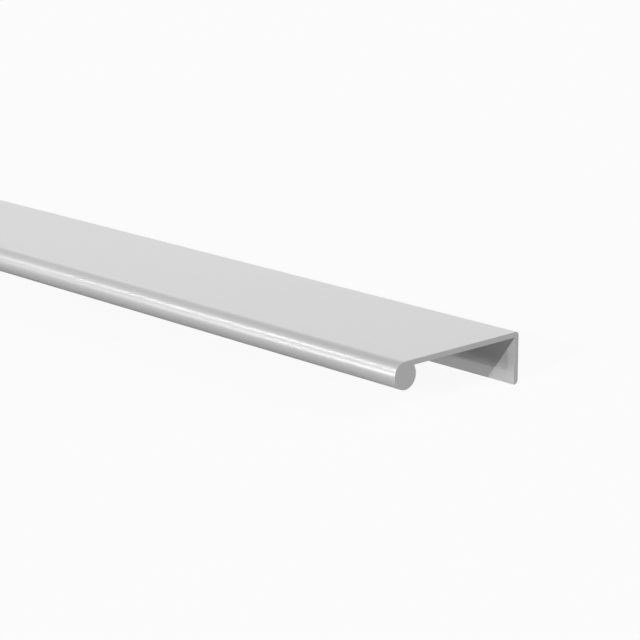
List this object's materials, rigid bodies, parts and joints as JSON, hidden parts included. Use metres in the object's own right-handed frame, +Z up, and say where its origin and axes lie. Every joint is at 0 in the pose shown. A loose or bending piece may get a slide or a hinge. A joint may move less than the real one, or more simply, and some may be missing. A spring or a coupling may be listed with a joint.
{
  "type": "tab pull",
  "caption": "Aluminium tab pull for a drawer or door edge: a flat web with a full-round gripping bead along its front and a drilled flange turned down at its back.",
  "frame": {"origin": "below the middle of the pull's length and depth, level with the toe of the flange, which is its lowest point", "axes": "+X along the length, +Y from the gripping bead at the front towards the mounting flange at the back, +Z up from the flange's toe to the web's top face"},
  "size_m": [0.3048, 0.0386, 0.0122],
  "materials": {
    "anodised_aluminium": "satin clear anodised, with fine lines along the extrusion"
  },
  "bodies": {
    "root": {"tab_pull": "anodised_aluminium"}
  },
  "joints": []
}
